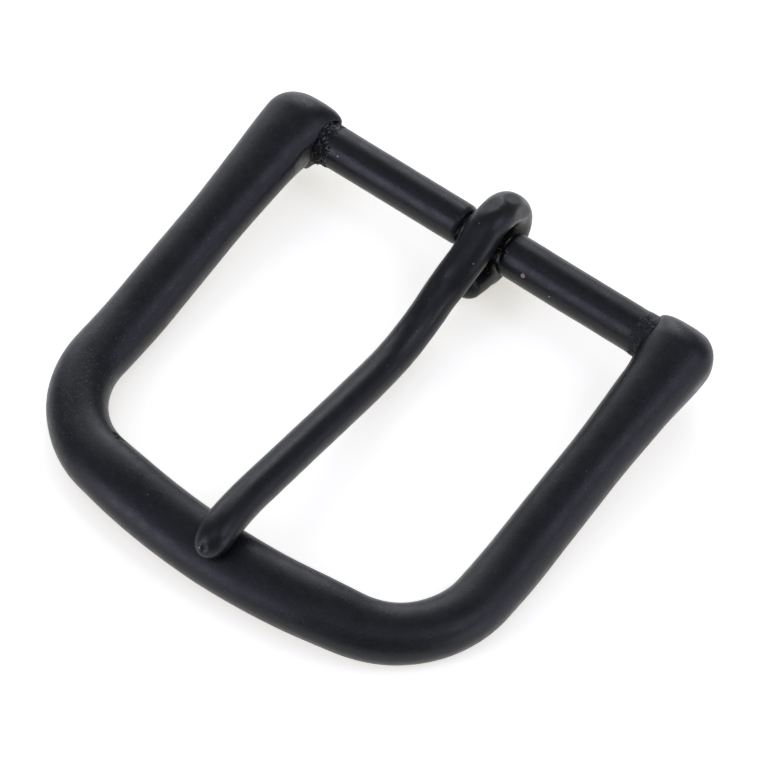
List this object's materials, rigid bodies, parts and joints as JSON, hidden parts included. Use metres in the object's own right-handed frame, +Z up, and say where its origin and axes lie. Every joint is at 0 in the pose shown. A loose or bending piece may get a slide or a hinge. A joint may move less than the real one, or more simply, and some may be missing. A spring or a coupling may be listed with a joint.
{
  "type": "belt buckle",
  "caption": "Heel-bar belt buckle with a bowed, raised front rail, a round bar set between the arms, and a bent tongue that swings on the bar and rests on the rail.",
  "frame": {"origin": "on the surface that the buckle lies on, under the middle of its bounding box", "axes": "+X along the heel bar, to the right when the buckle is seen face up with the front rail nearest, +Y from the front rail towards the heel bar, +Z up, out of the buckle's face; the buckle lies face up, tipped 7.9 degrees nose down, on the tongue's eye and the arms"},
  "size_m": [0.0538, 0.054, 0.0106],
  "materials": {
    "frame_coating": "satin black coating over cast metal, fine sandy grain",
    "bar_coating": "satin black coating, slightly smoother, with small chips near the tongue",
    "braze": "rough, granular filler metal under the same black coating",
    "tongue_coating": "satin black coating on bent rod, with faint hammer flats on the eye"
  },
  "bodies": {
    "frame_body": {"frame": "frame_coating", "heel_bar": "bar_coating", "bar_braze_left": "braze", "bar_braze_right": "braze"},
    "tongue_body": {"tongue": "tongue_coating"}
  },
  "joints": [
    {"name": "tongue_swing", "type": "hinge", "parent": "frame_body", "child": "tongue_body", "pos_m": [0, 0.02146, 0.00523], "axis": [-1, 0, 0], "range_deg": [0, 348]}
  ]
}
